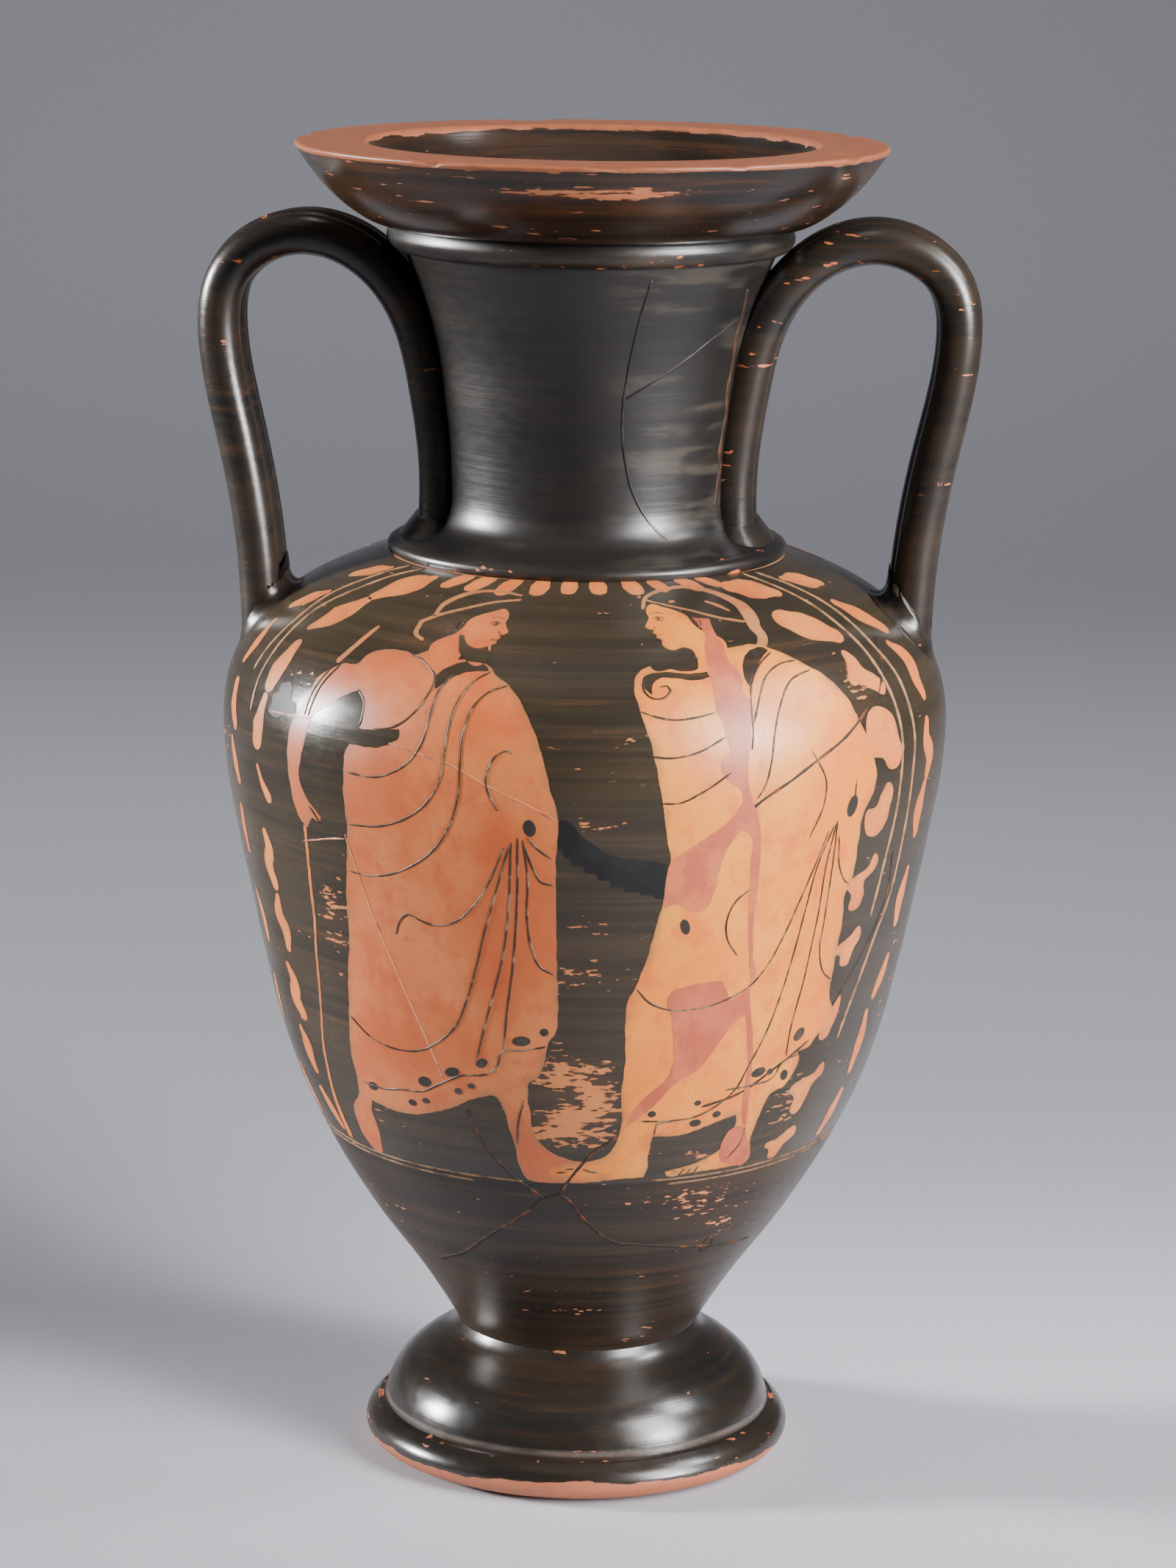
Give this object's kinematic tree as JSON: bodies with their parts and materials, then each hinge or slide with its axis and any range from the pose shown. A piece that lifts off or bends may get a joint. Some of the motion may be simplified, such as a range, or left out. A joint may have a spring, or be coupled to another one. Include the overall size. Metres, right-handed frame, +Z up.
{
  "type": "amphora",
  "caption": "Red-figure neck-amphora with a wide flaring mouth, waisted neck, ovoid body, ringed foot and tall triple-roll handles, mended with toned fills.",
  "frame": {"origin": "centre of the foot's resting face, on the axis of the vase", "axes": "+Z up the axis of the vase, +X towards the right handle, -Y the painted front"},
  "size_m": [0.1858, 0.1738, 0.32],
  "materials": {
    "black_gloss": "gloss",
    "reserved_clay": "satin",
    "toned_plaster": "matte",
    "dark_plaster": "matte"
  },
  "bodies": {
    "root": {"body": "black_gloss", "neck": "black_gloss", "neck_base_ring": "black_gloss", "collar_ring": "black_gloss", "mouth": "black_gloss", "foot": "black_gloss", "toned_fill_shoulder": "toned_plaster", "toned_fill_skirt": "toned_plaster", "toned_fill_heel": "toned_plaster", "dark_fill_middle": "dark_plaster", "dark_fill_left": "dark_plaster", "left_handle_front_roll": "black_gloss", "left_handle_middle_roll": "black_gloss", "left_handle_back_roll": "black_gloss", "left_handle_shoulder_clay": "black_gloss", "left_handle_neck_clay": "black_gloss", "right_handle_front_roll": "black_gloss", "right_handle_middle_roll": "black_gloss", "right_handle_back_roll": "black_gloss", "right_handle_shoulder_clay": "black_gloss", "right_handle_neck_clay": "black_gloss"}
  },
  "joints": []
}
